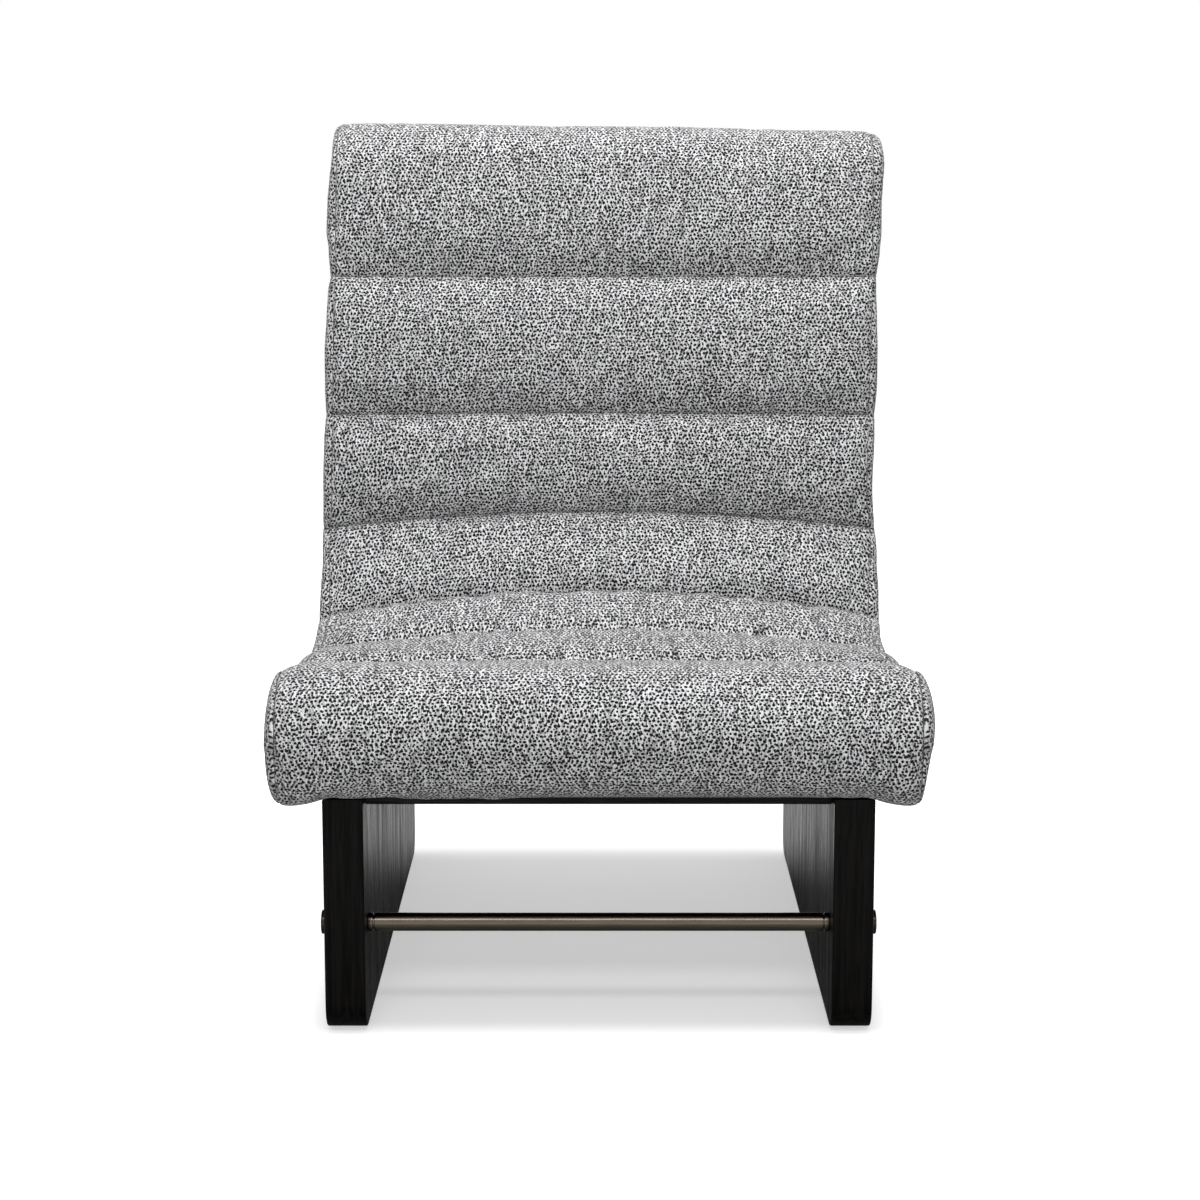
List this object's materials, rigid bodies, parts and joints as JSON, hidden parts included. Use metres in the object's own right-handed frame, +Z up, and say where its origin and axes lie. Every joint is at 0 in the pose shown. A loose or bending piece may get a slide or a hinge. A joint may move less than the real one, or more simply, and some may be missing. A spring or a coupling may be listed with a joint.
{
  "type": "occasional chair",
  "caption": "Armless occasional chair with an S-curved body upholstered in horizontal channels, a round knee roll, and upright slab legs tied by slim metal rods.",
  "frame": {"origin": "on the floor, at the middle of the chair's width and depth", "axes": "+X to the right seen from the front, +Y to the back, +Z up; the front of the chair faces -Y"},
  "size_m": [0.66, 0.78, 0.9248],
  "materials": {
    "grey_hopsack": "coarse black and light grey hopsack weave, matt",
    "white_fibre": "soft polyester fibre wadding",
    "cream_foam": null,
    "birch_plywood": "sanded plywood",
    "beech": "planed beech",
    "brown_webbing": "woven elastic webbing",
    "black_cambric": "thin black dust cloth",
    "black_stained_oak": "black stained oak, satin",
    "dark_bronze": "brushed dark bronze on steel",
    "zinc_plated_steel": "bright zinc plate",
    "black_nylon": "moulded nylon"
  },
  "bodies": {
    "root": {"back_rail": "beech", "dust_cover": "black_cambric", "foam_core": "cream_foam", "front_cover": "grey_hopsack", "front_left_board_dowel": "beech", "front_left_glide": "black_nylon", "front_left_seat_bolt": "zinc_plated_steel", "front_left_stretcher_bolt": "dark_bronze", "front_left_stretcher_collar": "dark_bronze", "front_left_tee_nut": "zinc_plated_steel", "front_right_board_dowel": "beech", "front_right_glide": "black_nylon", "front_right_seat_bolt": "zinc_plated_steel", "front_right_stretcher_bolt": "dark_bronze", "front_right_stretcher_collar": "dark_bronze", "front_right_tee_nut": "zinc_plated_steel", "front_seat_channel": "white_fibre", "front_seat_rail": "beech", "front_seat_strap": "brown_webbing", "front_stretcher_rod": "dark_bronze", "head_channel": "white_fibre", "knee_roll": "white_fibre", "left_leg_slab": "black_stained_oak", "left_rib": "birch_plywood", "left_side_panel": "grey_hopsack", "lower_back_channel": "white_fibre", "lower_back_strap": "brown_webbing", "lumbar_channel": "white_fibre", "lumbar_strap": "brown_webbing", "middle_seat_channel": "white_fibre", "middle_seat_strap": "brown_webbing", "nose_foam": "cream_foam", "nose_rail": "beech", "outer_padding": "white_fibre", "outer_panel": "birch_plywood", "outside_back_cover": "grey_hopsack", "rear_left_board_dowel": "beech", "rear_left_glide": "black_nylon", "rear_left_seat_bolt": "zinc_plated_steel", "rear_left_stretcher_bolt": "dark_bronze", "rear_left_stretcher_collar": "dark_bronze", "rear_left_tee_nut": "zinc_plated_steel", "rear_right_board_dowel": "beech", "rear_right_glide": "black_nylon", "rear_right_seat_bolt": "zinc_plated_steel", "rear_right_stretcher_bolt": "dark_bronze", "rear_right_stretcher_collar": "dark_bronze", "rear_right_tee_nut": "zinc_plated_steel", "rear_seat_channel": "white_fibre", "rear_seat_rail": "beech", "rear_seat_strap": "brown_webbing", "rear_stretcher_rod": "dark_bronze", "right_leg_slab": "black_stained_oak", "right_rib": "birch_plywood", "right_side_panel": "grey_hopsack", "seat_board": "black_stained_oak", "top_foam": "cream_foam", "top_rail": "beech", "upper_back_channel": "white_fibre", "upper_back_strap": "brown_webbing"}
  },
  "joints": []
}
